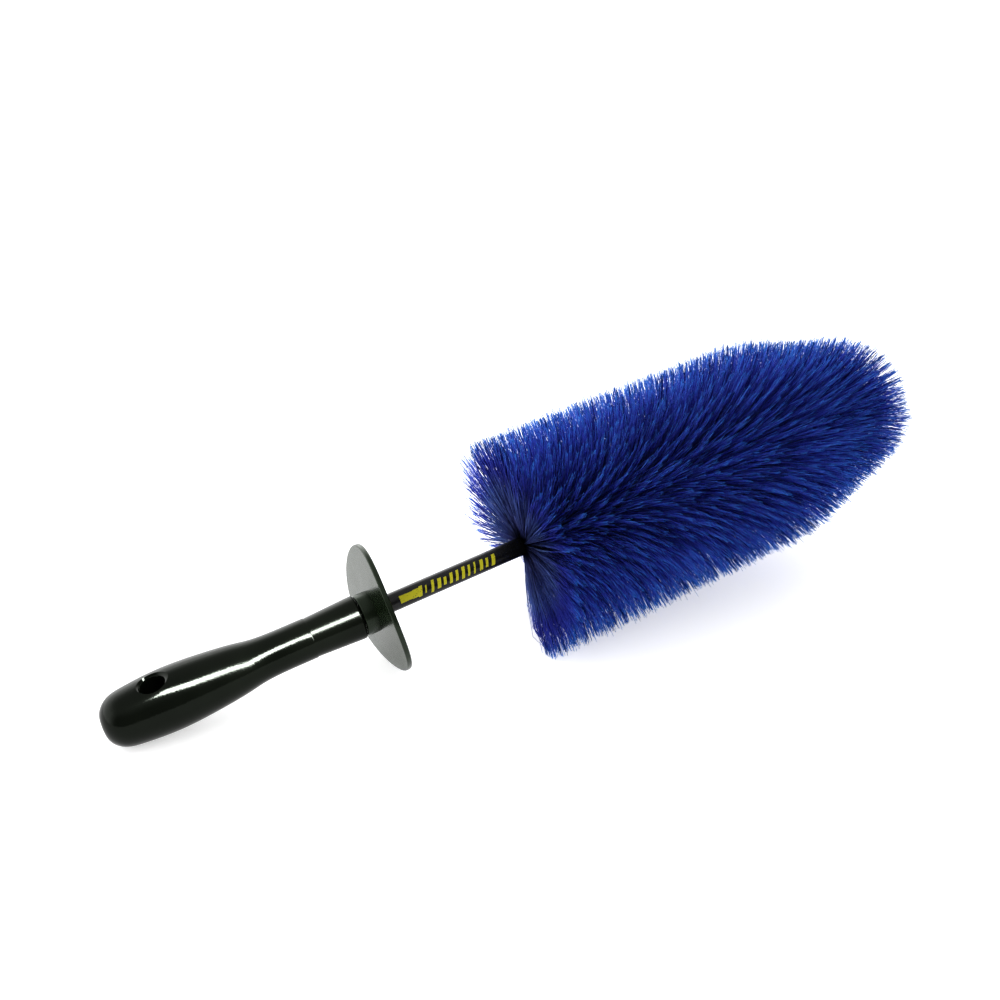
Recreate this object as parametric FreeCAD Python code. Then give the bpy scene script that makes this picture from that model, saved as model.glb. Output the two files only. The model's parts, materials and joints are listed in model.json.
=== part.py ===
"""Long-handled wheel brush for car washing: a twisted-wire brush head on a moulded handle.

Every piece is made about its own straight axis: +X runs along the brush from the butt of the
handle, so "along" means millimetres from the butt, and radii are measured from that axis.
place() then lays the brush down as it rests, nose raised, on the plane Z = 0, with the origin
under the middle of its bounding box.
"""
import FreeCAD, Part
import math
import os

Vector = FreeCAD.Vector

# ---------------------------------------------------------------- driving dimensions (mm, degrees)
OVERALL_LENGTH = 457.0
REST_SLOPE = 9.6             # how far the nose end is raised while the brush lies on a floor

HANDLE_LENGTH = 120.8
HANDLE_BUTT_ROUND = [(0.9, 7.0), (4.8, 11.2), (12.7, 13.4)]
HANDLE_GRIP = [(28.9, 14.6), (45.6, 13.8), (62.7, 11.8), (80.5, 10.0), (94.0, 9.75)]
HANDLE_FRONT_RADIUS = 11.0
HANDLE_FRONT_EDGE = 1.0      # rounding of the front edge

HANG_HOLE_ALONG = 25.0
HANG_HOLE_RADIUS = 4.5
HANG_HOLE_WALL = 21.0        # straight length of the hole between its flared mouths
HANG_HOLE_FLARE = 4.2        # radius of each rounded mouth
HANG_HOLE_ROLL = 10.0        # turn of the hole from upright, towards -Y

SOCKET_END = 56.0            # how near the butt the bore for the core reaches
SOCKET_RADIUS = 4.80

WIRE_DIAMETER = 2.8
WIRE_GAP = 0.04              # between the two twisted wires
WIRE_START = 59.0
WIRE_END = 449.0
TURNS_PER_TWIST = 2          # each full twist of the wires traps two rows of filaments

FERRULE_START = 58.0
FERRULE_LENGTH = 24.0
FERRULE_RADIUS = 4.75
CORE_CLEARANCE = 0.15        # round the twisted pair, inside what it passes through

SLEEVE_START = 84.0
SLEEVE_END = 209.0
SLEEVE_RADIUS = 4.75
SLEEVE_BORE = 3.05

GUARD_RADIUS = 33.0
GUARD_WALL = 2.5
GUARD_ALONG = 126.9          # where the disc's rear face crosses the brush's axis
GUARD_RIM_EDGE = 0.7         # rounding of the rim
GUARD_CURL = 4.1             # how far forward two opposite parts of the rim are curled
GUARD_CURL_ROLL = 31.0       # turn of the upper one of them from upright, towards +Y
GUARD_LEAN = 3.0             # how far the +Y side of the disc leans back
GUARD_HUB_START = 121.3
GUARD_HUB_RADIUS = 10.4
GUARD_HUB_EDGE = 0.8
GUARD_BORE = 5.4

TURN_COUNT = 24
TURN_FIRST_ROOT = 213.0
TURN_LAST_ROOT = 436.0
TURN_PITCH = (TURN_LAST_ROOT - TURN_FIRST_ROOT) / (TURN_COUNT - 1)
TURN_ROOT_WIDTH = 1.6        # a turn of filaments, as pressed together at the core
TURN_RIM_WIDTH = 2.4         # and at its trimmed rim
HEAD_REAR = 202.5            # rear rim of the trimmed head
HEAD_REAR_RADIUS = 57.0
HEAD_RADIUS = 58.2           # widest, where the taper starts
HEAD_SHOULDER = 374.0
HEAD_TAPER_END = 445.0
HEAD_END_RADIUS = 37.8
HEAD_NOSE_RADIUS = 12.5      # where the last turn ends, beside the cap

FLEX_ALONG = 174.0           # middle of the bare stem, where it bends

CAP_START = 441.0
CAP_RADIUS = 4.2
CAP_BORE_END = 450.0

os.makedirs("parts", exist_ok=True)
X_AXIS = Vector(1, 0, 0)
Y_AXIS = Vector(0, 1, 0)
Z_AXIS = Vector(0, 0, 1)
ORIGIN = Vector(0, 0, 0)
CORE_RADIUS = WIRE_DIAMETER + WIRE_GAP / 2          # envelope of the twisted pair
CORE_BORE = CORE_RADIUS + CORE_CLEARANCE


# ---------------------------------------------------------------- helpers
def point(along, radius):
    """A point of a half section, which lies in the plane Y = 0."""
    return Vector(along, 0, radius)


def revolve(edges):
    """The solid that a closed half section sweeps about the brush's axis."""
    face = Part.Face(Part.Wire(edges))
    return face.revolve(ORIGIN, X_AXIS, 360)


def lines(corners, closed=False):
    """Straight edges from corner to corner."""
    ends = corners[1:] + corners[:1] if closed else corners[1:]
    return [Part.makeLine(a, b) for a, b in zip(corners, ends)]


def curve(points, start_tangent, end_tangent):
    """A smooth edge through the points."""
    spline = Part.BSplineCurve()
    spline.interpolate(Points=points, InitialTangent=start_tangent, FinalTangent=end_tangent)
    return spline.toShape()


def tube(start, end, inner, outer):
    """A straight tube on the brush's axis."""
    corners = [point(start, inner), point(start, outer), point(end, outer), point(end, inner)]
    return revolve(lines(corners, closed=True))


def rod(start, end, radius):
    """A straight rod on the brush's axis."""
    return Part.makeCylinder(radius, end - start, point(start, 0), X_AXIS)


# ---------------------------------------------------------------- handle
def handle_body():
    """The moulded grip: round butt, swollen palm, slim neck, slightly flared front."""
    outline = [point(0, 0)]
    outline += [point(*p) for p in HANDLE_BUTT_ROUND + HANDLE_GRIP]
    outline += [point(HANDLE_LENGTH, HANDLE_FRONT_RADIUS)]
    skin = curve(outline, Vector(0, 0, 60), Vector(60, 0, 3))
    front_centre = point(HANDLE_LENGTH, 0)
    body = revolve([skin] + lines([outline[-1], front_centre, outline[0]]))
    rim = [e for e in body.Edges if e.BoundBox.XMin > HANDLE_LENGTH - 0.01]
    return body.makeFillet(HANDLE_FRONT_EDGE, rim)


def hang_hole():
    """What the hole removes: a straight bore that opens in a rounded flare at each mouth."""
    half = HANG_HOLE_WALL / 2
    flare = HANG_HOLE_FLARE
    mouth = half + flare
    wide = HANG_HOLE_RADIUS + flare
    bend = math.sqrt(0.5) * flare
    top = 3 * mouth

    def mouth_edges(side):
        arc = Part.Arc(
            Vector(HANG_HOLE_RADIUS, 0, side * half),
            Vector(wide - bend, 0, side * (half + bend)),
            Vector(wide, 0, side * mouth),
        ).toShape()
        return [arc] + lines([Vector(wide, 0, side * mouth), Vector(wide, 0, side * top)])

    wall = lines([Vector(HANG_HOLE_RADIUS, 0, -half), Vector(HANG_HOLE_RADIUS, 0, half)])
    ends = [Vector(wide, 0, top), Vector(0, 0, top), Vector(0, 0, -top), Vector(wide, 0, -top)]
    edges = mouth_edges(-1) + wall + mouth_edges(1) + lines(ends)
    outline = Part.Wire(Part.__sortEdges__(edges))
    hole = Part.Face(outline).revolve(ORIGIN, Z_AXIS, 360)
    hole.rotate(ORIGIN, X_AXIS, HANG_HOLE_ROLL)
    hole.translate(point(HANG_HOLE_ALONG, 0))
    return hole


def handle():
    """The grip with its hang hole and the blind socket for the core and sleeve."""
    socket = rod(SOCKET_END, HANDLE_LENGTH + 5, SOCKET_RADIUS)
    return handle_body().cut(hang_hole()).cut(socket)


# ---------------------------------------------------------------- hand guard
def guard_disc():
    """The flexible disc, cut from a curled sheet, with its rear face through the origin."""
    bend = (GUARD_RADIUS**2 + GUARD_CURL**2) / (2 * GUARD_CURL)
    width = 4 * GUARD_RADIUS
    side = Vector(bend, -width / 2, 0)
    sheet = Part.makeCylinder(bend, width, side, Y_AXIS)
    sheet = sheet.cut(Part.makeCylinder(bend - GUARD_WALL, width, side, Y_AXIS))
    sheet.rotate(ORIGIN, Z_AXIS, GUARD_LEAN)
    sheet.rotate(ORIGIN, X_AXIS, -GUARD_CURL_ROLL)
    disc = sheet.common(rod(-GUARD_RADIUS / 2, GUARD_RADIUS / 2, GUARD_RADIUS))
    rim = [e for e in disc.Edges if e.Length > 4 * GUARD_WALL]
    return disc.makeFillet(GUARD_RIM_EDGE, rim)


def hand_guard():
    """A curled disc on a short hub, loose on the stem in front of the handle."""
    hub_length = GUARD_ALONG - GUARD_HUB_START
    hub = rod(-hub_length, GUARD_WALL / 2, GUARD_HUB_RADIUS)
    rear_edges = [e for e in hub.Edges if e.BoundBox.XMax < 0.01 - hub_length]
    hub = hub.makeFillet(GUARD_HUB_EDGE, rear_edges)
    bore = rod(-2 * hub_length, 2 * hub_length, GUARD_BORE)
    guard = guard_disc().fuse(hub).removeSplitter().cut(bore)
    guard.translate(point(GUARD_ALONG, 0))
    return guard


# ---------------------------------------------------------------- core
def core_wire(start_turn):
    """One of the two wires, which twist round each other from the ferrule to the tip."""
    pitch = TURNS_PER_TWIST * TURN_PITCH
    radius = (WIRE_DIAMETER + WIRE_GAP) / 2
    path = Part.makeHelix(pitch, WIRE_END - WIRE_START, radius)
    heading = Vector(0, 2 * math.pi * radius, pitch)
    section = Part.makeCircle(WIRE_DIAMETER / 2, Vector(radius, 0, 0), heading)
    wire = Part.Wire(path).makePipeShell([Part.Wire(section)], True, True)
    wire.rotate(ORIGIN, Z_AXIS, start_turn)
    wire.rotate(ORIGIN, Y_AXIS, 90)
    wire.translate(point(WIRE_START, 0))
    return wire


def nose_cap():
    """A soft rounded cap that covers the cut ends of the wires."""
    shoulder = OVERALL_LENGTH - 1.0 - CAP_RADIUS
    tip = point(OVERALL_LENGTH - 1.0, 0)
    bend = math.sqrt(0.5) * CAP_RADIUS
    nose = Part.Arc(point(shoulder, CAP_RADIUS), point(shoulder + bend, bend), tip).toShape()
    bottom = point(CAP_BORE_END, 0)
    bore = [bottom, point(CAP_BORE_END, CORE_BORE), point(CAP_START, CORE_BORE)]
    sides = bore + [point(CAP_START, CAP_RADIUS), point(shoulder, CAP_RADIUS)]
    return revolve(lines(sides) + [nose] + lines([tip, bottom]))


# ---------------------------------------------------------------- bristle head
def head_outline():
    """Corners of the head's trimmed outline, from its rear rim round to the nose."""
    nose_start = point(HEAD_TAPER_END, HEAD_END_RADIUS)
    nose_end = point(OVERALL_LENGTH, HEAD_NOSE_RADIUS)
    return [
        point(HEAD_REAR, HEAD_REAR_RADIUS),
        point(HEAD_SHOULDER, HEAD_RADIUS),
        nose_start,
        nose_end,
    ]


def along_outline(corners, share):
    """The point at this share, 0 to 1, of the outline's length."""
    lengths = [(b - a).Length for a, b in zip(corners, corners[1:])]
    left = share * sum(lengths)
    for a, b, length in zip(corners, corners[1:], lengths):
        if left <= length:
            return a + (b - a) * (left / length)
        left -= length
    return corners[-1]


def bristle_turn(number):
    """One turn of filaments: a thin cone from the core out to the trimmed outline."""
    share = number / (TURN_COUNT - 1)
    root = point(TURN_FIRST_ROOT + share * (TURN_LAST_ROOT - TURN_FIRST_ROOT), CORE_BORE)
    corners = head_outline()
    outline_length = sum((b - a).Length for a, b in zip(corners, corners[1:]))
    half_share = TURN_RIM_WIDTH / 2 / outline_length
    middle = half_share + share * (1 - 2 * half_share)
    rim_rear = along_outline(corners, middle - half_share)
    rim_front = along_outline(corners, middle + half_share)
    half_root = point(TURN_ROOT_WIDTH / 2, 0)
    return revolve(lines([root - half_root, rim_rear, rim_front, root + half_root], closed=True))


# ---------------------------------------------------------------- assembly
def all_pieces():
    """Each node's name with its shape, all about the brush's own straight axis."""
    pieces = {
        "handle": handle(),
        "hand_guard": hand_guard(),
        "core_ferrule": tube(
            FERRULE_START, FERRULE_START + FERRULE_LENGTH, CORE_BORE, FERRULE_RADIUS
        ),
        "stem_sleeve": tube(SLEEVE_START, SLEEVE_END, SLEEVE_BORE, SLEEVE_RADIUS),
        "core_wire_a": core_wire(0),
        "core_wire_b": core_wire(180),
        "nose_cap": nose_cap(),
    }
    for number in range(TURN_COUNT):
        pieces[f"bristle_turn_{number + 1:02d}"] = bristle_turn(number)
    return pieces


def place(pieces):
    """Lays the brush down, flattens the filaments under it, and centres it on the origin."""
    for shape in pieces.values():
        shape.rotate(ORIGIN, Y_AXIS, -REST_SLOPE)
    floor = pieces["handle"].optimalBoundingBox().ZMin
    for shape in pieces.values():
        shape.translate(point(0, -floor))
    below = Part.makeBox(3 * OVERALL_LENGTH, OVERALL_LENGTH, OVERALL_LENGTH)
    below.translate(Vector(-OVERALL_LENGTH, -OVERALL_LENGTH / 2, -OVERALL_LENGTH))
    for name, shape in pieces.items():
        if name.startswith("bristle_turn") and shape.optimalBoundingBox().ZMin < 0:
            pieces[name] = shape.cut(below)
    boxes = [shape.optimalBoundingBox() for shape in pieces.values()]
    middle = (min(b.XMin for b in boxes) + max(b.XMax for b in boxes)) / 2
    for shape in pieces.values():
        shape.translate(Vector(-middle, 0, 0))
    return -middle, -floor


def report(pieces, shift_x, shift_z):
    """Prints the places that the record states, in the brush's resting frame."""
    slope = math.radians(REST_SLOPE)
    roll = math.radians(HANG_HOLE_ROLL)
    for name, along in (
        ("hang hole", HANG_HOLE_ALONG),
        ("stem flex pivot", FLEX_ALONG),
        ("guard pivot", GUARD_ALONG + GUARD_WALL / 2),
    ):
        x = along * math.cos(slope) + shift_x
        z = along * math.sin(slope) + shift_z
        print(f"{name}: {x:.4f} 0 {z:.4f}")
    print(f"brush axis: {math.cos(slope):.6f} 0 {math.sin(slope):.6f}")
    hole_axis = [
        -math.sin(slope) * math.cos(roll),
        -math.sin(roll),
        math.cos(slope) * math.cos(roll),
    ]
    print("hang hole axis:", " ".join(f"{part:.6f}" for part in hole_axis))
    for name, shape in pieces.items():
        box = shape.optimalBoundingBox()
        spans = [f"{value:.2f}" for value in (box.XMin, box.XMax, box.YMin, box.YMax, box.ZMin, box.ZMax)]
        print(f"{name}: volume {shape.Volume:.0f}, box {' '.join(spans)}, valid {shape.isValid()}")


made = all_pieces()
offset_x, offset_z = place(made)
for node, piece in made.items():
    solids = piece.Solids
    whole = solids[0] if len(solids) == 1 else piece
    whole.exportStep(f"parts/{node}.step")
report(made, offset_x, offset_z)
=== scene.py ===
"""Looks of the long-handled wheel brush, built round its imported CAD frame.

Lengths are metres in the row frame. "along" is the distance from the handle's butt on the brush's
own straight axis, and "out" is the distance from that axis. Both are read from the frame.
"""
import json
import math

import bpy
import numpy as np
from mathutils import Matrix, Vector


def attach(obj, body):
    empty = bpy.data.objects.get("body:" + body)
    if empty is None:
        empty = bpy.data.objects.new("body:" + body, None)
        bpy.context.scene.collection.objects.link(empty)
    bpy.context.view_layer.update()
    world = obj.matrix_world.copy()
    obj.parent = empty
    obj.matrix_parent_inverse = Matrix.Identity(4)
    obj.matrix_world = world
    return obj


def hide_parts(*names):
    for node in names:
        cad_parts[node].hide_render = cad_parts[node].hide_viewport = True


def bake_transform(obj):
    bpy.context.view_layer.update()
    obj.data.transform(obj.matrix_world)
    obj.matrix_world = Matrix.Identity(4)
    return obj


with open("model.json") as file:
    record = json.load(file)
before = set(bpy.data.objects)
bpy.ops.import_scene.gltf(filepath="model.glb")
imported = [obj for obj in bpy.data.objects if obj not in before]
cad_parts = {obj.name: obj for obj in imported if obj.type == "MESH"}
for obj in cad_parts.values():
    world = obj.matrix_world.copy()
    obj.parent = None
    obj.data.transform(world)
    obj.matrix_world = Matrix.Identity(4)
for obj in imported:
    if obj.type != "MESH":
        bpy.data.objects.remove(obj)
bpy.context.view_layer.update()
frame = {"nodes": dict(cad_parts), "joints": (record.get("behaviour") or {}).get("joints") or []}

MM = 0.001
rng = np.random.default_rng(20)

# ---------------------------------------------------------------- camera and lights, as dimensions
CAMERA_TURN = 28.4           # degrees from square-on, round towards the handle
CAMERA_TILT = 26.0           # degrees down from level
CAMERA_LENS = 32.4           # mm on a 36 mm sensor
CAMERA_DISTANCE = 466 * MM   # to the point below, on the brush's axis
CAMERA_AIM = 211.3 * MM      # along the brush: where its axis passes nearest the view's middle
CAMERA_AIM_RIGHT = 0.0225    # where that point lies in the view, as slopes from the middle
CAMERA_AIM_DOWN = 0.0517

ROOM_LIGHT = 0.32            # radiance behind the camera
BACKDROP_LIGHT = 1.90
BACKDROP_TURN = -20.0        # degrees from square-on behind the brush, round towards the head
CEILING_LIGHT = 0.75
STRIP_LIFT = 5.0             # degrees that the strip lamp stands above the camera, round the grip
STRIP_SLANT = 40.0           # degrees between the lamp's long side and the grip
STRIP_AHEAD = 0.48           # how far towards the head it stands, beside its distance
STRIP_AWAY = 0.5             # metres from the grip
STRIP_SIZE = (1.00, 0.13)    # metres
STRIP_LIGHT = 50.0           # radiance
STRIP_AIM = 60 * MM          # along the grip
TABLE_LIGHT = 0.41           # radiance of the lit white table itself
TABLE_HALF = 60.0            # metres

# ---------------------------------------------------------------- stem, as dimensions
SLEEVE_TUCK = 3.2 * MM       # how far the sleeve's front reaches in between the filaments
SLEEVE_LIP = 0.7 * MM        # radius of its rounded front edge
SLEEVE_SIDES = 48
WIRE_SIDES = 8
WIRE_RINGS = 420
WIRE_INSET = 0.6 * MM        # how far each wire's ends stay inside the CAD wire's
PRINT_START = 141.5 * MM
PRINT_BLOCK = 11 * MM        # length of the solid block at the guard's end
PRINT_END = 195 * MM
PRINT_PITCH = 3.4 * MM
PRINT_SHARE = 0.62           # widest bar, as a share of the pitch
PRINT_SLANT = 1.4 * MM
PRINT_HALF_TURN = 0.70       # radians each side of the print's middle line
PRINT_TURN = math.radians(-62)   # where the print's middle line faces, from upright
UNPRINTED = 3.0              # radians from that line, on the parts that carry no print
BEND_START = 145 * MM        # the stretch of bare stem that bend_with_stem reads; nothing bends it
BEND_END = 203 * MM

# ---------------------------------------------------------------- filaments, as dimensions
FILAMENTS_PER_TURN = 1150
NOSE_TURNS = 4               # how many of the last turns hold fewer filaments
NOSE_THINNEST = 0.55         # share of them that the very last one holds
FILAMENT_RADIUS = 0.21 * MM
TIP_TAPER = 0.55             # a tip's radius, as a share of the root's
STRAND_RINGS = 5
STRAND_SIDES = 3
STRAND_BOW = 1.2 * MM        # scatter of how far a filament's middle stands off a straight line
ROOT_DEPTH = 0.8             # radius where filaments start, as a share of the core's
ROOT_SCATTER = 0.6 * MM
TURN_STEP = 0.7548777        # of a full turn, from one filament to the next: it never repeats
TURN_SCATTER = 0.03          # radians
ROOT_BAND = 0.2 * MM         # how far out from its bore a CAD turn counts as its root
RIM_BAND = 2.4 * MM          # and how far in from its edge as its rim
FILAMENT_CLEARNESS = 0.93    # share of light that goes through
TUFT_PULL = 0.60             # how far a filament's tip leans to the middle of its tuft
PULL_RANGE = (0.6, 1.4)      # of that pull, from one filament to the next
TUFT_SIZE = 5.2 * MM         # spacing of the tufts on the trimmed outline
TUFT_CIRCLE = 55 * MM        # radius of the head that this spacing is counted round
TUFTS_FEWEST = 6             # round the nose
TUFT_SHADE = 0.55            # share of a filament's shade that its tuft gives it
TRIM_SCATTER = 1.4 * MM
TRIM_PROUD = 0.9 * MM        # mean reach past the CAD outline
TRIM_DRIFT = 0.5 * MM        # scatter of the tips along the head
NOSE_REACH = 7.0 * MM        # how much blunter the nose is, at its fullest ring
NOSE_RING = 38 * MM          # that ring's radius
NOSE_RING_WIDTH = 8 * MM     # how fast the reach falls away outside the ring
NOSE_DISH_WIDTH = 30 * MM    # and inside it
NOSE_SHARES = (0.75, 0.90)   # where along the head the reach begins, and where it is full
NOSE_FILL = 0.60             # share of the closing turns that close in over the cap
NOSE_CLOSING = 2             # how many of the last turns do so
NOSE_HOLE = 4.5 * MM         # radius that they leave clear round the axis
SWEEP = 24 * MM              # how far forward the floor pushes tips under the rear end
SWEEP_TURN = math.radians(140)
SWEEP_SPREAD = (math.radians(18), math.radians(36))   # above its middle and below it
SWEEP_SHARE = 0.35           # of the head's length, where the sweep has faded out
REAR_TUCK = 7.5 * MM         # how much further forward the rear tips stand, all but the lowest
REAR_TUCK_TURN = math.radians(20)
REAR_SPLAY = 6.5 * MM        # how much further back the lowest of them reach
REAR_SPLAY_TURN = math.radians(214)
REAR_SPLAY_SPREAD = math.radians(24)
REAR_SHARE = 0.22            # of the head's length, where tuck and splay have faded out
REAR_STRAY = 4.0 * MM        # mean reach of loose filaments behind the rear face
REAR_STRAY_MOST = 10 * MM
REAR_STRAY_FADE = 4          # how fast they give out from the top of the face to its foot
REAR_STRAY_SHARE = 0.07      # of the head's length that carries loose filaments
FLOOR_CLEARANCE = 0.4 * MM
FLOOR_SPLAY = 0.9            # how far outwards a tip moves, for each mm that the floor lifts it
FLOOR_PILE = 0.12            # how thick the flattened filaments lie, for the same mm


# ---------------------------------------------------------------- the brush's axis, from the frame
def node_points(name):
    """A CAD node's vertices, as an array."""
    return np.array([v.co for v in frame["nodes"][name].data.vertices], float)


guard_spin = next(j for j in frame["joints"] if j["name"] == "guard_spin")
AXIS = np.array(guard_spin["axis"], float)
AXIS /= np.linalg.norm(AXIS)
SIDE = np.array([0.0, 1.0, 0.0])
OVER = np.cross(AXIS, SIDE)
BUTT = np.array(guard_spin["pos_m"], float)
BUTT += AXIS * ((node_points("handle") - BUTT) @ AXIS).min()


def on_axis(points):
    """How far along and how far out each point is."""
    rel = points - BUTT
    along = rel @ AXIS
    out = np.linalg.norm(rel - along[:, None] * AXIS, axis=1)
    return along, out


def place(along, out, turn):
    """Points at these distances along and out, turned about the axis from upright."""
    along, out, turn = np.broadcast_arrays(along, out, turn)
    radial = np.cos(turn)[..., None] * OVER + np.sin(turn)[..., None] * SIDE
    return BUTT + along[..., None] * AXIS + out[..., None] * radial


def turn_profile():
    """For each bristle turn's node: where it leaves the core, and its rim's place and radius."""
    rows = []
    for name in turn_names:
        along, out = on_axis(node_points(name))
        rim = out > out.max() - RIM_BAND
        root = out < out.min() + ROOT_BAND
        rows.append((along[root].mean(), along[rim].mean(), out[rim].mean()))
    return np.array(rows)


turn_names = sorted(n for n in frame["nodes"] if n.startswith("bristle_turn"))
ROOT, RIM, RIM_OUT = turn_profile().T
SHARES = np.linspace(0, 1, len(ROOT))
CORE_OUT = on_axis(node_points("core_wire_a"))[1].max()


# ---------------------------------------------------------------- material helpers
class Nodes:
    """A material's node tree, with short calls to add and join nodes."""

    def __init__(self, name):
        self.material = bpy.data.materials.new(name)
        self.material.use_nodes = True
        self.tree = self.material.node_tree
        self.shader = self.tree.nodes["Principled BSDF"]

    def add(self, kind, **values):
        node = self.tree.nodes.new("ShaderNode" + kind)
        for key, value in values.items():
            if key in node.inputs:
                node.inputs[key].default_value = value
            else:
                setattr(node, key, value)
        return node

    def join(self, a, out, b, into):
        self.tree.links.new(a.outputs[out], b.inputs[into])

    def coordinates(self, scale=(1, 1, 1)):
        where = self.add("TexCoord")
        mapping = self.add("Mapping")
        mapping.inputs["Scale"].default_value = scale
        self.join(where, "Object", mapping, "Vector")
        return mapping

    def noise(self, where, scale, detail=4.0):
        node = self.add("TexNoise", Scale=scale, Detail=detail, Roughness=0.6)
        self.join(where, "Vector", node, "Vector")
        return node

    def ramp(self, source, out, stops):
        node = self.add("ValToRGB")
        ramp = node.color_ramp
        while len(ramp.elements) < len(stops):
            ramp.elements.new(0.5)
        for element, (position, colour) in zip(ramp.elements, stops):
            element.position = position
            element.color = (*colour, 1)
        self.join(source, out, node, "Fac")
        return node

    def grey(self, source, out, stops):
        return self.ramp(source, out, [(at, (v, v, v)) for at, v in stops])

    def bump(self, source, out, strength, distance):
        node = self.add("Bump", Strength=strength, Distance=distance)
        self.join(source, out, node, "Height")
        self.join(node, "Normal", self.shader, "Normal")


def assign(name, material):
    """Gives a carried-over CAD node this material in every slot."""
    obj = frame["nodes"][name]
    for index in range(len(obj.data.materials)):
        obj.data.materials[index] = material
    if not obj.data.materials:
        obj.data.materials.append(material)


# ---------------------------------------------------------------- materials
def black_moulding():
    """The grip: glossy black plastic, faintly uneven, with fine wear in its shine."""
    m = Nodes("glossy black moulding")
    where = m.coordinates()
    broad = m.noise(where, 22.0, detail=3.0)
    fine = m.noise(where, 900.0, detail=2.0)
    colour = m.ramp(broad, "Fac", [(0.3, (0.0009, 0.0012, 0.0008)), (0.7, (0.0018, 0.0023, 0.0015))])
    m.join(colour, "Color", m.shader, "Base Color")
    shine = m.grey(broad, "Fac", [(0.35, 0.10), (0.7, 0.17)])
    m.join(shine, "Color", m.shader, "Roughness")
    m.bump(fine, "Fac", 0.10, 0.0002)
    m.shader.inputs["Specular IOR Level"].default_value = 0.24
    m.shader.inputs["Specular Tint"].default_value = (0.92, 1.0, 0.90, 1)
    return m.material


def satin_guard():
    """The guard: dark rubbery plastic with a satin bloom and a fine grain."""
    m = Nodes("satin dark guard")
    where = m.coordinates()
    cloud = m.noise(where, 45.0, detail=5.0)
    grain = m.noise(where, 1500.0, detail=2.0)
    colour = m.ramp(cloud, "Fac", [(0.3, (0.0070, 0.0120, 0.0055)), (0.75, (0.0130, 0.0210, 0.0100))])
    m.join(colour, "Color", m.shader, "Base Color")
    shine = m.grey(cloud, "Fac", [(0.3, 0.17), (0.7, 0.26)])
    m.join(shine, "Color", m.shader, "Roughness")
    m.bump(grain, "Fac", 0.12, 0.0002)
    m.shader.inputs["Specular IOR Level"].default_value = 0.5
    m.shader.inputs["Specular Tint"].default_value = (0.88, 1.0, 0.86, 1)
    return m.material


def soft_black():
    """Soft black vinyl, for the nose cap."""
    m = Nodes("soft black vinyl")
    where = m.coordinates()
    cloud = m.noise(where, 300.0)
    colour = m.ramp(cloud, "Fac", [(0.3, (0.010, 0.010, 0.012)), (0.7, (0.022, 0.022, 0.024))])
    m.join(colour, "Color", m.shader, "Base Color")
    shine = m.grey(cloud, "Fac", [(0.3, 0.4), (0.7, 0.6)])
    m.join(shine, "Color", m.shader, "Roughness")
    m.bump(cloud, "Fac", 0.2, 0.0002)
    return m.material


def drawn_steel():
    """Galvanised steel, with drawing marks."""
    m = Nodes("galvanised steel")
    where = m.coordinates((1, 12, 12))
    streak = m.noise(where, 260.0, detail=5.0)
    colour = m.ramp(streak, "Fac", [(0.3, (0.14, 0.14, 0.15)), (0.7, (0.30, 0.30, 0.31))])
    m.join(colour, "Color", m.shader, "Base Color")
    shine = m.grey(streak, "Fac", [(0.3, 0.28), (0.7, 0.5)])
    m.join(shine, "Color", m.shader, "Roughness")
    m.bump(streak, "Fac", 0.15, 0.0002)
    m.shader.inputs["Metallic"].default_value = 1.0
    return m.material


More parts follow.
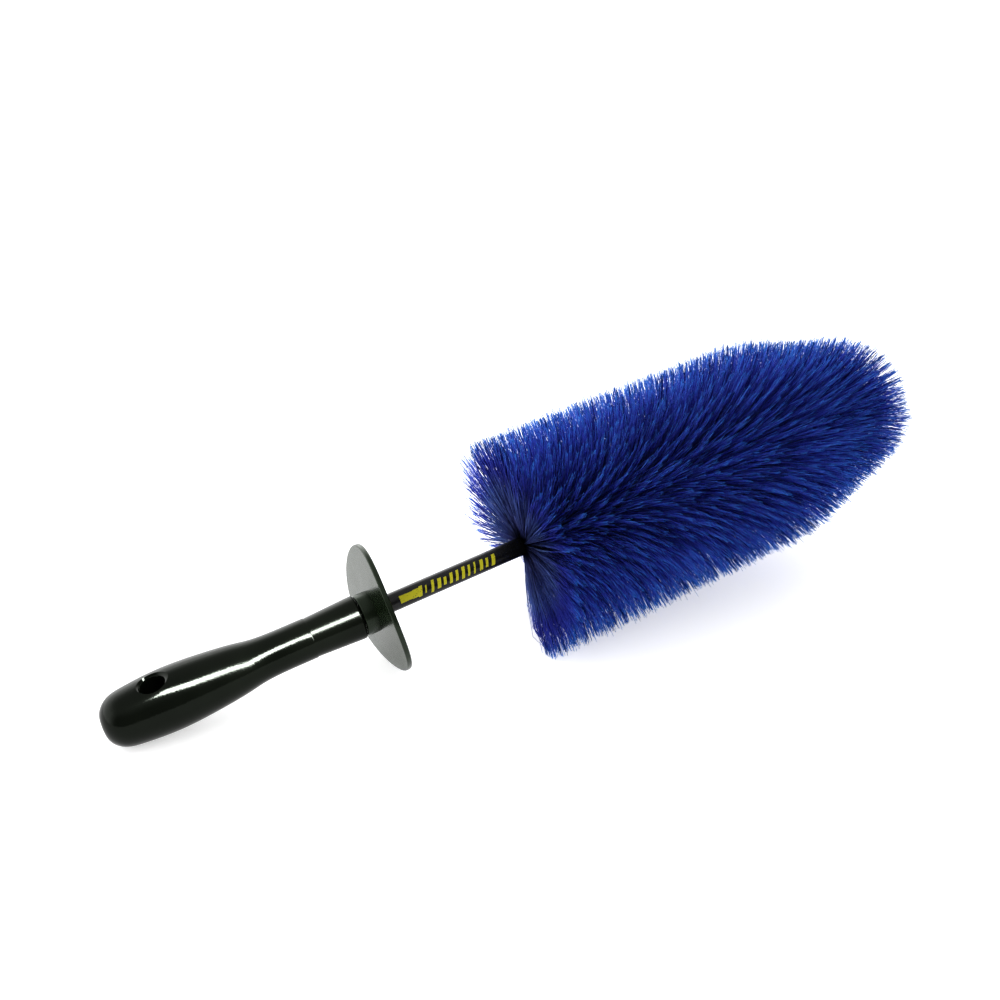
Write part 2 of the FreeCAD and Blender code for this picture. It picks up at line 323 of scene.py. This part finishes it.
def printed_vinyl():
    """The sleeve: glossy black vinyl with a printed row of plain yellow slanted bars.

    The sleeve's own map gives metres along it, and turns about it from the print's middle.
    """
    m = Nodes("printed black vinyl")
    flat = m.add("UVMap", uv_map="sleeve")
    split = m.add("SeparateXYZ")
    m.join(flat, "UV", split, "Vector")

    def maths(kind, a, b=None):
        node = m.add("Math", operation=kind)
        for index, value in enumerate((a, b)):
            if value is None:
                continue
            if isinstance(value, (int, float)):
                node.inputs[index].default_value = value
            else:
                m.tree.links.new(value, node.inputs[index])
        return node.outputs[0]

    along, round_it = split.outputs["X"], split.outputs["Y"]
    slanted = maths("SUBTRACT", along, maths("MULTIPLY", round_it, PRINT_SLANT))
    steps = maths("DIVIDE", maths("SUBTRACT", slanted, PRINT_START), PRINT_PITCH)
    which = m.add("TexWhiteNoise", noise_dimensions="1D")
    m.tree.links.new(maths("FLOOR", steps), which.inputs["W"])
    uneven = which.outputs["Value"]
    width = maths("MULTIPLY", maths("ADD", maths("MULTIPLY", uneven, 0.6), 0.4), PRINT_SHARE)
    bar = maths("LESS_THAN", maths("FRACT", steps), width)
    block = maths("LESS_THAN", along, PRINT_START + PRINT_BLOCK)
    bar = maths("MAXIMUM", bar, block)
    tall = maths("FRACT", maths("MULTIPLY", uneven, 7.0))
    half_turn = maths("MULTIPLY", maths("ADD", maths("MULTIPLY", tall, 0.45), 0.55), PRINT_HALF_TURN)
    middle = (PRINT_START + PRINT_END) / 2
    off_middle = maths("ABSOLUTE", maths("SUBTRACT", along, middle))
    inside = maths("LESS_THAN", off_middle, (PRINT_END - PRINT_START) / 2)
    across = maths("LESS_THAN", maths("ABSOLUTE", round_it), half_turn)
    ink = maths("MULTIPLY", bar, maths("MULTIPLY", inside, across))
    wear = m.noise(m.coordinates(), 1400.0, detail=3.0)
    kept = maths("GREATER_THAN", wear.outputs["Fac"], 0.34)
    ink = maths("MULTIPLY", ink, kept)

    colour = m.add("Mix", data_type="RGBA")
    m.tree.links.new(ink, colour.inputs["Factor"])
    base = m.ramp(wear, "Fac", [(0.3, (0.004, 0.004, 0.004)), (0.7, (0.009, 0.009, 0.009))])
    m.tree.links.new(base.outputs["Color"], colour.inputs["A"])
    colour.inputs["B"].default_value = (0.62, 0.58, 0.03, 1)
    m.tree.links.new(colour.outputs["Result"], m.shader.inputs["Base Color"])
    shine = m.grey(wear, "Fac", [(0.3, 0.16), (0.7, 0.30)])
    rough = maths("ADD", shine.outputs["Color"], maths("MULTIPLY", ink, 0.4))
    m.tree.links.new(rough, m.shader.inputs["Roughness"])
    m.bump(wear, "Fac", 0.08, 0.0002)
    return m.material


def blue_filament():
    """Dyed nylon: indigo where it is lit from in front, clear bright blue where light passes.

    Both colours go by the place along a filament, root to tip, and are tinted by the filament. Both fall
    to near black at the root, which is painted shade for the dark hub deep in the head. The front-lit
    colour also turns darker and more violet towards the tip, which is painted shade for the head's dark
    middle, where the tips face the camera.
    """
    m = Nodes("blue nylon filament")
    place_on = m.add("Attribute", attribute_name="strand_share")
    shade = m.add("Attribute", attribute_name="strand_shade")

    def tinted(lengthwise, tints):
        body = m.ramp(place_on, "Fac", lengthwise)
        tint = m.ramp(shade, "Fac", tints)
        mixed = m.add("Mix", data_type="RGBA", blend_type="MULTIPLY")
        mixed.inputs["Factor"].default_value = 1.0
        m.join(body, "Color", mixed, "A")
        m.join(tint, "Color", mixed, "B")
        return mixed.outputs["Result"]

    # front-lit colour: near black at the root, painted shade at the hub; darker and more violet towards
    # the tip, painted shade for the head's dark middle
    skin = tinted(
        [
            (0.0, (0.006, 0.005, 0.012)),
            (0.12, (0.26, 0.23, 0.30)),
            (0.55, (0.25, 0.21, 0.29)),
            (0.75, (0.18, 0.10, 0.14)),
            (1.0, (0.15, 0.090, 0.15)),
        ],
        [
            (0.0, (0.25, 0.25, 0.35)),
            (0.4, (0.7, 0.7, 0.8)),
            (0.8, (1.0, 1.0, 1.0)),
            (1.0, (1.5, 1.6, 1.4)),
        ],
    )
    # colour of the light that passes through: near black at the root, painted shade at the hub
    glow = tinted(
        [
            (0.0, (0.01, 0.02, 0.08)),
            (0.15, (0.44, 0.48, 0.74)),
            (0.55, (0.52, 0.62, 0.93)),
            (0.75, (0.38, 0.42, 0.91)),
            (0.92, (0.38, 0.48, 0.95)),
            (1.0, (0.31, 0.61, 1.0)),
        ],
        [
            (0.0, (0.14, 0.14, 0.22)),
            (0.45, (0.84, 0.84, 0.88)),
            (1.0, (1.0, 1.1, 1.0)),
        ],
    )
    m.tree.links.new(skin, m.shader.inputs["Base Color"])
    m.shader.inputs["Roughness"].default_value = 0.4
    m.shader.inputs["Specular IOR Level"].default_value = 0.4
    clear = m.add("BsdfTranslucent")
    m.tree.links.new(glow, clear.inputs["Color"])
    both = m.add("MixShader")
    both.inputs[0].default_value = FILAMENT_CLEARNESS
    m.tree.links.new(m.shader.outputs[0], both.inputs[1])
    m.tree.links.new(clear.outputs[0], both.inputs[2])
    m.tree.links.new(both.outputs[0], m.tree.nodes["Material Output"].inputs["Surface"])
    return m.material


# ---------------------------------------------------------------- mesh helpers
def mesh_object(name, points, faces, material):
    """A mesh object from an array of points and a list of face arrays of equal width each."""
    mesh = bpy.data.meshes.new(name)
    widths = np.concatenate([np.full(len(f), f.shape[1]) for f in faces])
    corners = np.concatenate([f.ravel() for f in faces])
    mesh.vertices.add(len(points))
    mesh.vertices.foreach_set("co", np.asarray(points, np.float32).ravel())
    mesh.loops.add(len(corners))
    mesh.loops.foreach_set("vertex_index", corners.astype(np.int32))
    mesh.polygons.add(len(widths))
    starts = np.concatenate([[0], np.cumsum(widths)[:-1]])
    mesh.polygons.foreach_set("loop_start", starts.astype(np.int32))
    mesh.update(calc_edges=True)
    mesh.validate()
    mesh.shade_smooth()
    mesh.materials.append(material)
    obj = bpy.data.objects.new(name, mesh)
    bpy.context.scene.collection.objects.link(obj)
    return obj


def tube_faces(rings, sides, count=1):
    """Quads along each of count tubes, and a fan-free cap at both ends."""
    ring, side = np.meshgrid(np.arange(rings - 1), np.arange(sides), indexing="ij")
    a = (ring * sides + side).ravel()
    b = (ring * sides + (side + 1) % sides).ravel()
    quads = np.stack([a, b, b + sides, a + sides], axis=1)
    caps = np.array([np.arange(sides)[::-1], (rings - 1) * sides + np.arange(sides)])
    step = (np.arange(count) * rings * sides)[:, None, None]
    return [(quads + step).reshape(-1, 4), (caps + step).reshape(-1, sides)]


# ---------------------------------------------------------------- sleeve and core wires
def bend_with_stem(obj):
    """Bakes a piece's placement into its mesh. It reads the ends of the stem's bending stretch, but bends
    nothing.
    """
    ends = [tuple(place(at, 0.0, 0.0)) for at in (BEND_START, BEND_END)]
    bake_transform(obj)


def stem_sleeve(material):
    """The vinyl tube, with a rounded front lip, in rings close enough to bend smoothly."""
    along, out = on_axis(node_points("stem_sleeve"))
    rear, front, outer, bore = along.min(), along.max() + SLEEVE_TUCK, out.max(), out.min()
    lip, sides = SLEEVE_LIP, SLEEVE_SIDES
    stations = [(at, outer) for at in np.linspace(rear, front - lip, 90)]
    quarter = np.linspace(0, math.pi / 2, 5)[1:]
    stations += [(front - lip + lip * math.sin(a), outer - lip + lip * math.cos(a)) for a in quarter]
    stations += [(at, bore) for at in np.linspace(front, rear, 60)]
    profile = np.array(stations)
    turns = np.arange(sides) * 2 * math.pi / sides
    points = place(profile[:, :1], profile[:, 1:], turns[None, :])
    rows = len(profile)
    ring, side = np.meshgrid(np.arange(rows), np.arange(sides), indexing="ij")
    a = (ring * sides + side).ravel()
    b = (ring * sides + (side + 1) % sides).ravel()
    c = (((ring + 1) % rows) * sides + (side + 1) % sides).ravel()
    d = (((ring + 1) % rows) * sides + side).ravel()
    obj = mesh_object("stem_sleeve_vinyl", points.reshape(-1, 3), [np.stack([a, d, c, b], 1)], material)
    layer = obj.data.uv_layers.new(name="sleeve")
    spot = np.zeros(len(obj.data.loops), np.int32)
    obj.data.loops.foreach_get("vertex_index", spot)
    row, column = spot // sides, spot % sides
    angle = (turns[column] - PRINT_TURN + math.pi) % (2 * math.pi) - math.pi
    bare = (profile[row, 1] < outer - lip) | (np.abs(angle) > UNPRINTED)
    angle = np.where(bare, UNPRINTED, angle)
    layer.data.foreach_set("uv", np.stack([profile[row, 0], angle], 1).astype(np.float32).ravel())
    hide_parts("stem_sleeve")
    bend_with_stem(obj)


def core_wire(node, phase, material):
    """One twisted wire, from the ferrule to the nose cap."""
    along, out = on_axis(node_points(node))
    radius = out.max() / 2 - 0.01 * MM
    pitch = 2 * (ROOT[-1] - ROOT[0]) / (len(ROOT) - 1)
    start, end = along.min() + WIRE_INSET, along.max() - WIRE_INSET
    rings, sides = WIRE_RINGS, WIRE_SIDES
    at = np.linspace(start, end, rings)
    turn = 2 * math.pi * (at - start) / pitch + phase
    centre = place(at, radius, turn)
    outward = centre - place(at, 0.0, turn)
    outward /= np.linalg.norm(outward, axis=1)[:, None]
    tangent = np.gradient(centre, axis=0)
    tangent /= np.linalg.norm(tangent, axis=1)[:, None]
    across = np.cross(tangent, outward)
    spin = np.arange(sides) * 2 * math.pi / sides
    ring = np.cos(spin)[None, :, None] * outward[:, None] + np.sin(spin)[None, :, None] * across[:, None]
    points = centre[:, None] + radius * ring
    obj = mesh_object(node + "_steel", points.reshape(-1, 3), tube_faces(rings, sides), material)
    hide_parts(node)
    bend_with_stem(obj)


# ---------------------------------------------------------------- bristles
def tuft_centres(share, turn):
    """The middle of each filament's tuft, as share of the head and turn, and the tuft's tone.

    The wobbles are hashes of the tuft's row and column, so one tuft's filaments agree.
    """
    length = (RIM[-1] - RIM[0]) + (RIM_OUT.max() - RIM_OUT[-1])
    rows = int(length / TUFT_SIZE)
    row = np.floor(share * rows)
    cells = 2 * math.pi * TUFT_CIRCLE / TUFT_SIZE
    count = np.maximum(TUFTS_FEWEST, np.round(cells * np.interp(share, SHARES, RIM_OUT) / RIM_OUT.max()))
    offset = (row * 0.618034) % 1.0
    column = np.floor(turn / (2 * math.pi) * count + offset)
    wobble_a = np.sin(row * 12.9898 + column * 78.233) * 43758.5453 % 1.0
    wobble_b = np.sin(row * 39.3468 + column * 11.135) * 24634.6345 % 1.0
    tuft_share = (row + 0.2 + 0.6 * wobble_a) / rows
    tuft_turn = (column - offset + 0.2 + 0.6 * wobble_b) / count * 2 * math.pi
    return np.clip(tuft_share, 0, 1), tuft_turn, wobble_a


def rim_at(share):
    """The trimmed outline's place along and radius out, at this share of the head."""
    return np.interp(share, SHARES, RIM), np.interp(share, SHARES, RIM_OUT)


def swept(share, turn):
    """How far forward of the trimmed outline the rear tips stand, at this share and turn."""
    off = np.angle(np.exp(1j * (turn - SWEEP_TURN)))
    off = off / np.where(off < 0, *SWEEP_SPREAD)
    pushed = SWEEP * np.exp(-(off**2)) * np.clip(1 - share / SWEEP_SHARE, 0, 1)
    tuck = REAR_TUCK * np.abs(np.cos((turn - REAR_TUCK_TURN) / 2))
    low = np.angle(np.exp(1j * (turn - REAR_SPLAY_TURN))) / REAR_SPLAY_SPREAD
    tuck -= REAR_SPLAY * np.exp(-(low**2))
    return pushed + tuck * np.clip(1 - share / REAR_SHARE, 0, 1)


def bristle_turn(index, material):
    """One turn's filaments, each a thin closed strand from the core to the trimmed outline."""
    count = FILAMENTS_PER_TURN
    last = len(ROOT) - 1
    low = max(0.0, index - 0.5) / last
    high = min(last, index + 0.5) / last
    if index > last - NOSE_TURNS:
        fullness = (last - index) / NOSE_TURNS
        count = int(count * (NOSE_THINNEST + (1 - NOSE_THINNEST) * fullness))
    share = low + (high - low) * (np.arange(count) + rng.random(count)) / count
    turn = 2 * math.pi * ((np.arange(count) * TURN_STEP) % 1.0) + rng.normal(0, TURN_SCATTER, count)
    turn = turn % (2 * math.pi)
    tuft_share, tuft_turn, tone = tuft_centres(share, turn)
    least, most = PULL_RANGE
    pull = TUFT_PULL * (least + (most - least) * rng.random(count))
    tip_share = np.clip(share + (tuft_share - share) * pull, 0, 1)
    tip_turn = turn + (tuft_turn - turn) * pull
    tip_along, tip_out = rim_at(tip_share)
    tip_along = tip_along + rng.normal(0, TRIM_DRIFT, count)
    front = np.interp(tip_share, NOSE_SHARES, (0, 1))
    if index > last - NOSE_CLOSING:
        inward = rng.random(count) < NOSE_FILL
        tip_out = np.where(inward, NOSE_HOLE + (tip_out - NOSE_HOLE) * rng.random(count), tip_out)
    width = np.where(tip_out < NOSE_RING, NOSE_DISH_WIDTH, NOSE_RING_WIDTH)
    tip_along = tip_along + NOSE_REACH * front * np.exp(-(((tip_out - NOSE_RING) / width) ** 2))
    tip_out = tip_out + rng.normal(0, 1, count) * TRIM_SCATTER + TRIM_PROUD
    tip_along = tip_along + swept(tip_share, tip_turn)
    loose = np.minimum(rng.exponential(REAR_STRAY, count), REAR_STRAY_MOST)
    loose *= np.cos((tip_turn - REAR_TUCK_TURN) / 2) ** REAR_STRAY_FADE
    tip_along -= loose * np.clip(1 - tip_share / REAR_STRAY_SHARE, 0, 1)
    root_along = np.interp(share, SHARES, ROOT) + rng.normal(0, ROOT_SCATTER, count)

    t = np.linspace(0, 1, STRAND_RINGS)
    root = place(root_along, ROOT_DEPTH * CORE_OUT, turn)
    tip = place(tip_along, tip_out, tip_turn)
    bow = rng.normal(0, STRAND_BOW, (count, 3))
    line = root[:, None] + (tip - root)[:, None] * t[None, :, None]
    line = line + bow[:, None] * (4 * t * (1 - t))[None, :, None]
    line = rest_on_floor(line)

    tangent = np.gradient(line, axis=1)
    tangent /= np.linalg.norm(tangent, axis=2)[..., None]
    across = np.cross(tangent, AXIS + 0.01 * SIDE)
    across /= np.linalg.norm(across, axis=2)[..., None]
    other = np.cross(tangent, across)
    sides = STRAND_SIDES
    radius = FILAMENT_RADIUS * (1 - (1 - TIP_TAPER) * t)
    spin = np.arange(sides) * 2 * math.pi / sides + rng.random(count)[:, None] * 6.28
    spin = spin[:, None, :, None]
    ring = np.cos(spin) * across[:, :, None] + np.sin(spin) * other[:, :, None]
    points = line[:, :, None] + radius[None, :, None, None] * ring
    faces = tube_faces(STRAND_RINGS, sides, count)
    obj = mesh_object(f"bristles_{index + 1:02d}", points.reshape(-1, 3), faces, material)

    lengthwise = np.broadcast_to(t[None, :, None], (count, STRAND_RINGS, sides))
    shade = (1 - TUFT_SHADE) * rng.random(count) + TUFT_SHADE * tone
    shade = np.broadcast_to(shade[:, None, None], lengthwise.shape)
    for name, values in (("strand_share", lengthwise), ("strand_shade", shade)):
        layer = obj.data.attributes.new(name, "FLOAT", "POINT")
        layer.data.foreach_set("value", values.astype(np.float32).ravel())
    strand_map(obj, count)
    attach(obj, "head_body")
    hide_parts(turn_names[index])


def strand_map(obj, count):
    """Gives each filament its own upright strip of the piece's map, for baked colours."""
    sides = STRAND_SIDES
    columns = int(math.ceil(math.sqrt(count * 4)))
    rows = int(math.ceil(count / columns))
    strand = np.arange(count)
    corner = np.stack([strand % columns, strand // columns], 1)
    ring, side = np.meshgrid(np.arange(STRAND_RINGS - 1), np.arange(sides), indexing="ij")
    steps = [(0, 0), (1, 0), (1, 1), (0, 1)]
    across = np.stack([side.ravel() + a for a, _ in steps], 1) / sides
    up = np.stack([ring.ravel() + b for _, b in steps], 1) / (STRAND_RINGS - 1)
    walls = np.stack([across, up], -1).reshape(-1, 2)
    ends = np.array([(0.2, 0.0), (0.8, 0.0), (0.5, 0.05), (0.2, 1.0), (0.5, 0.95), (0.8, 1.0)])
    cell = np.array([0.86 / columns, 0.90 / rows])
    margin = np.array([0.07 / columns, 0.05 / rows])
    base = corner / np.array([columns, rows]) + margin
    spots = [(base[:, None] + part[None] * cell).reshape(-1, 2) for part in (walls, ends)]
    layer = obj.data.uv_layers.new(name="OFBake")
    layer.data.foreach_set("uv", np.concatenate(spots).astype(np.float32).ravel())


def rest_on_floor(line):
    """Filaments that would pass through the floor bend flat on it and splay outwards."""
    depth = FLOOR_CLEARANCE - line[..., 2]
    under = np.maximum(depth, 0)
    outward = np.sign(line[:, -1:, 1]) * under * FLOOR_SPLAY
    line = line.copy()
    line[..., 1] += outward
    line[..., 2] = np.where(depth > 0, FLOOR_CLEARANCE + FLOOR_PILE * under, line[..., 2])
    return line


# ---------------------------------------------------------------- stage
def look_rotation(forward):
    """The rotation of a camera or lamp that looks this way, with its top upright."""
    return Vector(forward).to_track_quat("-Z", "Y").to_matrix().to_4x4()


def view_direction():
    """The way that the camera faces."""
    turn, tilt = math.radians(CAMERA_TURN), math.radians(CAMERA_TILT)
    level = math.cos(tilt)
    return np.array([math.sin(turn) * level, math.cos(turn) * level, -math.sin(tilt)])


def camera():
    """The camera, standing where the slopes above put the aim point in view."""
    turn = math.radians(CAMERA_TURN)
    forward = view_direction()
    right = np.array([math.cos(turn), -math.sin(turn), 0.0])
    down = np.cross(forward, right)
    ray = forward + CAMERA_AIM_RIGHT * right + CAMERA_AIM_DOWN * down
    ray /= np.linalg.norm(ray)
    eye = place(CAMERA_AIM, 0.0, 0.0) - CAMERA_DISTANCE * ray
    data = bpy.data.cameras.new("camera")
    data.lens = CAMERA_LENS
    data.sensor_width = 36
    data.clip_start = 0.01
    obj = bpy.data.objects.new("camera", data)
    obj.matrix_world = Matrix.Translation(Vector(eye)) @ look_rotation(forward)
    bpy.context.scene.collection.objects.link(obj)
    bpy.context.scene.camera = obj


def soft_box(name, place_at, aim, along, size, radiance):
    """A rectangular studio lamp that faces its aim, its long side lying this way."""
    data = bpy.data.lights.new(name, "AREA")
    data.shape = "RECTANGLE"
    data.size, data.size_y = size
    data.energy = radiance * math.pi * size[0] * size[1]
    obj = bpy.data.objects.new(name, data)
    back = (Vector(place_at) - Vector(aim)).normalized()
    side = (Vector(along) - Vector(along).dot(back) * back).normalized()
    up = back.cross(side)
    turn = Matrix((side, up, back)).transposed().to_4x4()
    obj.matrix_world = Matrix.Translation(Vector(place_at)) @ turn
    obj.visible_camera = False
    bpy.context.scene.collection.objects.link(obj)
    return obj


def studio_world():
    """A bright backdrop, a dimmer ceiling and a dim room behind the camera. It is seen as plain white."""
    world = bpy.data.worlds.new("studio")
    world.use_nodes = True
    tree = world.node_tree
    background = tree.nodes["Background"]
    background.inputs["Color"].default_value = (1, 1, 1, 1)

    def add(kind, **values):
        node = tree.nodes.new("ShaderNode" + kind)
        for key, value in values.items():
            setattr(node, key, value)
        return node

    def ramp(source, low, high):
        node = add("MapRange", interpolation_type="SMOOTHSTEP")
        node.inputs["From Min"].default_value = low
        node.inputs["From Max"].default_value = high
        tree.links.new(source, node.inputs["Value"])
        return node.outputs["Result"]

    def between(share, low, high):
        node = add("Mix", data_type="FLOAT")
        tree.links.new(share, node.inputs["Factor"])
        for name, value in (("A", low), ("B", high)):
            if isinstance(value, float):
                node.inputs[name].default_value = value
            else:
                tree.links.new(value, node.inputs[name])
        return node.outputs["Result"]

    direction = add("TexCoord").outputs["Generated"]
    level = add("SeparateXYZ")
    tree.links.new(direction, level.inputs["Vector"])
    ahead = add("VectorMath", operation="DOT_PRODUCT")
    turn = math.radians(BACKDROP_TURN)
    ahead.inputs[1].default_value = (math.sin(turn), math.cos(turn), 0)
    tree.links.new(direction, ahead.inputs[0])
    walls = between(ramp(ahead.outputs["Value"], -0.3, 0.4), ROOM_LIGHT, BACKDROP_LIGHT)
    whole = between(ramp(level.outputs["Z"], 0.45, 0.85), walls, CEILING_LIGHT)
    seen = add("LightPath").outputs["Is Camera Ray"]
    tree.links.new(between(seen, whole, 1.0), background.inputs["Strength"])
    bpy.context.scene.world = world


def table():
    """The pale floor."""
    mesh = bpy.data.meshes.new("floor")
    half = TABLE_HALF
    corners = [(-half, -half, 0), (half, -half, 0), (half, half, 0), (-half, half, 0)]
    mesh.from_pydata(corners, [], [(0, 1, 2, 3)])
    m = Nodes("pale floor")
    m.shader.inputs["Base Color"].default_value = (0.82, 0.82, 0.82, 1)
    m.shader.inputs["Emission Color"].default_value = (1, 1, 1, 1)
    m.shader.inputs["Emission Strength"].default_value = TABLE_LIGHT
    m.shader.inputs["Roughness"].default_value = 0.9
    m.shader.inputs["Specular IOR Level"].default_value = 0.1
    mesh.materials.append(m.material)
    floor = bpy.data.objects.new("floor", mesh)
    bpy.context.scene.collection.objects.link(floor)


def strip_lamp():
    """A long lamp that gives the grip its one streak of shine, and lights nothing else."""
    towards = -view_direction()
    towards -= (towards @ AXIS) * AXIS
    towards /= np.linalg.norm(towards)
    above = np.cross(towards, AXIS)
    above *= np.sign(above[2])
    lift = math.radians(STRIP_LIFT)
    grip = place(STRIP_AIM, 0.0, 0.0)
    mirrored = math.cos(lift) * towards + math.sin(lift) * above + STRIP_AHEAD * AXIS
    slant = math.radians(STRIP_SLANT)
    lie = math.cos(slant) * AXIS - math.sin(slant) * above
    strip = grip + STRIP_AWAY * mirrored / np.linalg.norm(mirrored)
    lamp = soft_box("strip", strip, grip, lie, STRIP_SIZE, STRIP_LIGHT)
    lit = bpy.data.collections.new("lit by strip")
    lit.objects.link(frame["nodes"]["handle"])
    lamp.light_linking.receiver_collection = lit


# ---------------------------------------------------------------- assembly
bpy.context.scene.view_settings.view_transform = "Standard"
bpy.context.scene.view_settings.look = "High Contrast"
camera()
table()
studio_world()
strip_lamp()
assign("handle", black_moulding())
assign("hand_guard", satin_guard())
assign("nose_cap", soft_black())
steel = drawn_steel()
assign("core_ferrule", steel)
stem_sleeve(printed_vinyl())
core_wire("core_wire_a", 0.0, steel)
core_wire("core_wire_b", math.pi, steel)
nylon = blue_filament()
for turn_index in range(len(turn_names)):
    bristle_turn(turn_index, nylon)
